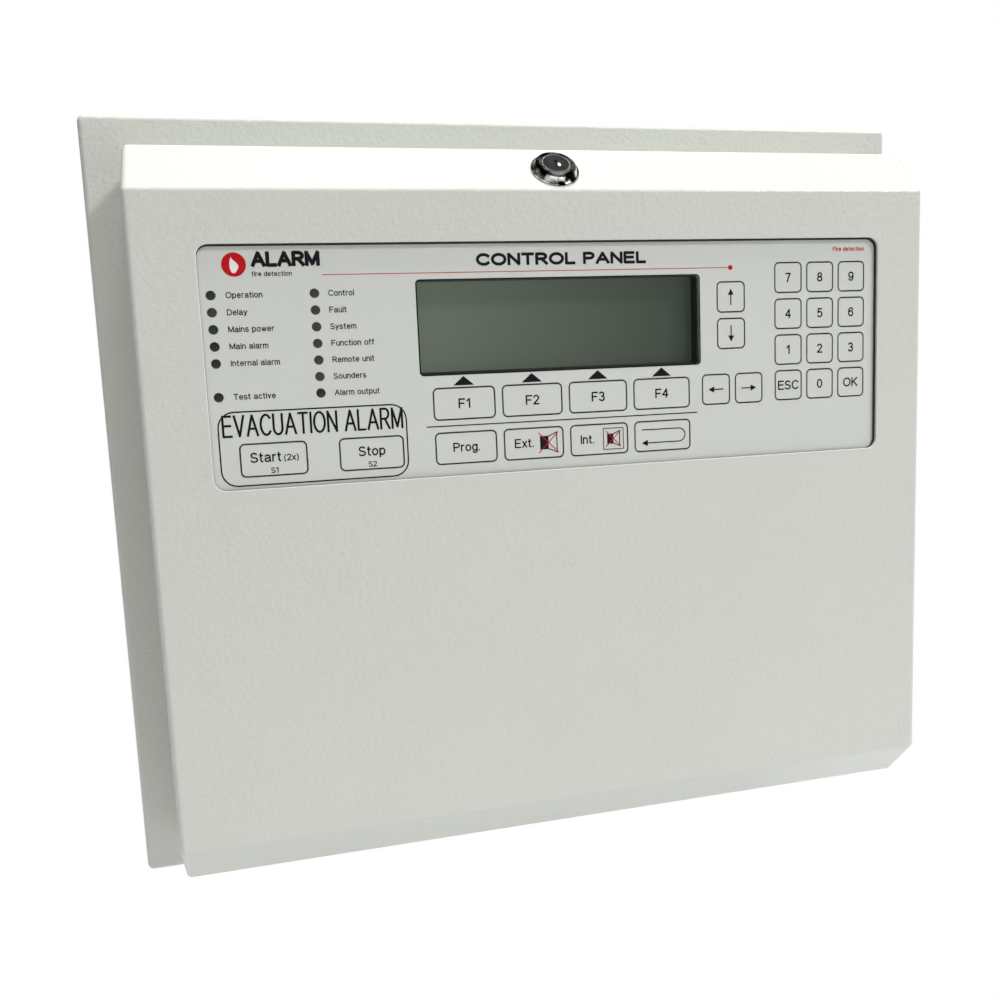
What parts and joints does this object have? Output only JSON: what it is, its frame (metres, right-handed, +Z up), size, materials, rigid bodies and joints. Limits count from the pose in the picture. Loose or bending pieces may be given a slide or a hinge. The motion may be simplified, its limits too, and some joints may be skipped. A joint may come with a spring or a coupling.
{
  "type": "fire alarm control panel",
  "caption": "Wall-mounted fire alarm control panel: folded steel back plate and deep hinged cover with sloped edges, recessed operator foil with keys and display, cylinder lock on top.",
  "frame": {"origin": "middle of the four wall-screw holes, in the wall plane at the rear of the back plate", "axes": "+Z up, +Y into the wall, +X to the right as seen from the front"},
  "size_m": [0.416, 0.08, 0.366],
  "materials": {
    "housing_paint": "fine textured light grey powder coat",
    "black_rubber": "matt",
    "zinc_steel": "bright zinc plating",
    "circuit_board": "green solder resist",
    "brass_fittings": "nickel-free turned brass",
    "terminal_plastic": "moulded",
    "black_plastic": "moulded",
    "fuse_glass": "glass tube and tinned caps",
    "supply_sheet": "plain sheet",
    "battery_case": "moulded case",
    "cable_sheath": "flexible insulation",
    "lock_chrome": "polished",
    "front_foil": "satin printed foil",
    "aluminium_plate": "milled",
    "light_window": "dark tinted",
    "lamp_resin": "clear moulded resin",
    "display_glass": "dark olive display glass"
  },
  "bodies": {
    "panel_base": {"back_plate": "housing_paint", "cable_trim": "black_rubber", "hinge_brackets": "zinc_steel", "hinge_pins": "zinc_steel", "lock_catch": "zinc_steel", "main_board": "circuit_board", "board_posts": "brass_fittings", "board_screws": "zinc_steel", "terminal_blocks": "terminal_plastic", "board_components": "black_plastic", "fuses": "fuse_glass", "power_supply": "supply_sheet", "supply_terminals": "terminal_plastic", "batteries": "battery_case", "battery_shelves": "zinc_steel", "battery_leads": "cable_sheath", "ribbon_cable": "cable_sheath", "earth_lead": "cable_sheath"},
    "cover_assembly": {"cover": "housing_paint", "cover_hinge_ears": "zinc_steel", "lock_body": "lock_chrome", "lock_nut": "zinc_steel", "overlay_foil": "front_foil", "carrier_plate": "aluminium_plate", "carrier_nuts": "zinc_steel", "led_windows": "light_window", "leds": "lamp_resin", "display_frame": "black_plastic", "display_glass": "display_glass", "display_board": "circuit_board", "operator_board": "circuit_board", "buzzer": "black_plastic"},
    "lock_core": {"lock_plug": "lock_chrome", "lock_cam": "zinc_steel"},
    "key_7": {"key_7": "front_foil"},
    "key_8": {"key_8": "front_foil"},
    "key_9": {"key_9": "front_foil"},
    "key_4": {"key_4": "front_foil"},
    "key_5": {"key_5": "front_foil"},
    "key_6": {"key_6": "front_foil"},
    "key_1": {"key_1": "front_foil"},
    "key_2": {"key_2": "front_foil"},
    "key_3": {"key_3": "front_foil"},
    "key_esc": {"key_esc": "front_foil"},
    "key_0": {"key_0": "front_foil"},
    "key_ok": {"key_ok": "front_foil"},
    "key_up": {"key_up": "front_foil"},
    "key_down": {"key_down": "front_foil"},
    "key_left": {"key_left": "front_foil"},
    "key_right": {"key_right": "front_foil"},
    "key_f1": {"key_f1": "front_foil"},
    "key_f2": {"key_f2": "front_foil"},
    "key_f3": {"key_f3": "front_foil"},
    "key_f4": {"key_f4": "front_foil"},
    "key_prog": {"key_prog": "front_foil"},
    "key_ext": {"key_ext": "front_foil"},
    "key_int": {"key_int": "front_foil"},
    "key_return": {"key_return": "front_foil"},
    "key_start": {"key_start": "front_foil"},
    "key_stop": {"key_stop": "front_foil"}
  },
  "joints": [
    {"name": "cover_hinge", "type": "hinge", "parent": "panel_base", "child": "cover_assembly", "pos_m": [0, -0.02, -0.1575], "axis": [1, 0, 0], "range_deg": [0, 90], "deforming": ["ribbon_cable", "earth_lead"]},
    {"name": "cylinder_turn", "type": "hinge", "parent": "cover_assembly", "child": "lock_core", "pos_m": [0, -0.07035, 0.15265], "axis": [0, 0.7071, -0.7071], "range_deg": [0, 90]},
    {"name": "key_7_press", "type": "slide", "parent": "cover_assembly", "child": "key_7", "axis": [0, 1, 0], "range_m": [0, 0.0004], "stiffness_N_per_m": 2500},
    {"name": "key_8_press", "type": "slide", "parent": "cover_assembly", "child": "key_8", "axis": [0, 1, 0], "range_m": [0, 0.0004], "stiffness_N_per_m": 2500},
    {"name": "key_9_press", "type": "slide", "parent": "cover_assembly", "child": "key_9", "axis": [0, 1, 0], "range_m": [0, 0.0004], "stiffness_N_per_m": 2500},
    {"name": "key_4_press", "type": "slide", "parent": "cover_assembly", "child": "key_4", "axis": [0, 1, 0], "range_m": [0, 0.0004], "stiffness_N_per_m": 2500},
    {"name": "key_5_press", "type": "slide", "parent": "cover_assembly", "child": "key_5", "axis": [0, 1, 0], "range_m": [0, 0.0004], "stiffness_N_per_m": 2500},
    {"name": "key_6_press", "type": "slide", "parent": "cover_assembly", "child": "key_6", "axis": [0, 1, 0], "range_m": [0, 0.0004], "stiffness_N_per_m": 2500},
    {"name": "key_1_press", "type": "slide", "parent": "cover_assembly", "child": "key_1", "axis": [0, 1, 0], "range_m": [0, 0.0004], "stiffness_N_per_m": 2500},
    {"name": "key_2_press", "type": "slide", "parent": "cover_assembly", "child": "key_2", "axis": [0, 1, 0], "range_m": [0, 0.0004], "stiffness_N_per_m": 2500},
    {"name": "key_3_press", "type": "slide", "parent": "cover_assembly", "child": "key_3", "axis": [0, 1, 0], "range_m": [0, 0.0004], "stiffness_N_per_m": 2500},
    {"name": "key_esc_press", "type": "slide", "parent": "cover_assembly", "child": "key_esc", "axis": [0, 1, 0], "range_m": [0, 0.0004], "stiffness_N_per_m": 2500},
    {"name": "key_0_press", "type": "slide", "parent": "cover_assembly", "child": "key_0", "axis": [0, 1, 0], "range_m": [0, 0.0004], "stiffness_N_per_m": 2500},
    {"name": "key_ok_press", "type": "slide", "parent": "cover_assembly", "child": "key_ok", "axis": [0, 1, 0], "range_m": [0, 0.0004], "stiffness_N_per_m": 2500},
    {"name": "key_up_press", "type": "slide", "parent": "cover_assembly", "child": "key_up", "axis": [0, 1, 0], "range_m": [0, 0.0004], "stiffness_N_per_m": 2500},
    {"name": "key_down_press", "type": "slide", "parent": "cover_assembly", "child": "key_down", "axis": [0, 1, 0], "range_m": [0, 0.0004], "stiffness_N_per_m": 2500},
    {"name": "key_left_press", "type": "slide", "parent": "cover_assembly", "child": "key_left", "axis": [0, 1, 0], "range_m": [0, 0.0004], "stiffness_N_per_m": 2500},
    {"name": "key_right_press", "type": "slide", "parent": "cover_assembly", "child": "key_right", "axis": [0, 1, 0], "range_m": [0, 0.0004], "stiffness_N_per_m": 2500},
    {"name": "key_f1_press", "type": "slide", "parent": "cover_assembly", "child": "key_f1", "axis": [0, 1, 0], "range_m": [0, 0.0004], "stiffness_N_per_m": 2500},
    {"name": "key_f2_press", "type": "slide", "parent": "cover_assembly", "child": "key_f2", "axis": [0, 1, 0], "range_m": [0, 0.0004], "stiffness_N_per_m": 2500},
    {"name": "key_f3_press", "type": "slide", "parent": "cover_assembly", "child": "key_f3", "axis": [0, 1, 0], "range_m": [0, 0.0004], "stiffness_N_per_m": 2500},
    {"name": "key_f4_press", "type": "slide", "parent": "cover_assembly", "child": "key_f4", "axis": [0, 1, 0], "range_m": [0, 0.0004], "stiffness_N_per_m": 2500},
    {"name": "key_prog_press", "type": "slide", "parent": "cover_assembly", "child": "key_prog", "axis": [0, 1, 0], "range_m": [0, 0.0004], "stiffness_N_per_m": 2500},
    {"name": "key_ext_press", "type": "slide", "parent": "cover_assembly", "child": "key_ext", "axis": [0, 1, 0], "range_m": [0, 0.0004], "stiffness_N_per_m": 2500},
    {"name": "key_int_press", "type": "slide", "parent": "cover_assembly", "child": "key_int", "axis": [0, 1, 0], "range_m": [0, 0.0004], "stiffness_N_per_m": 2500},
    {"name": "key_return_press", "type": "slide", "parent": "cover_assembly", "child": "key_return", "axis": [0, 1, 0], "range_m": [0, 0.0004], "stiffness_N_per_m": 2500},
    {"name": "key_start_press", "type": "slide", "parent": "cover_assembly", "child": "key_start", "axis": [0, 1, 0], "range_m": [0, 0.0004], "stiffness_N_per_m": 2500},
    {"name": "key_stop_press", "type": "slide", "parent": "cover_assembly", "child": "key_stop", "axis": [0, 1, 0], "range_m": [0, 0.0004], "stiffness_N_per_m": 2500}
  ]
}
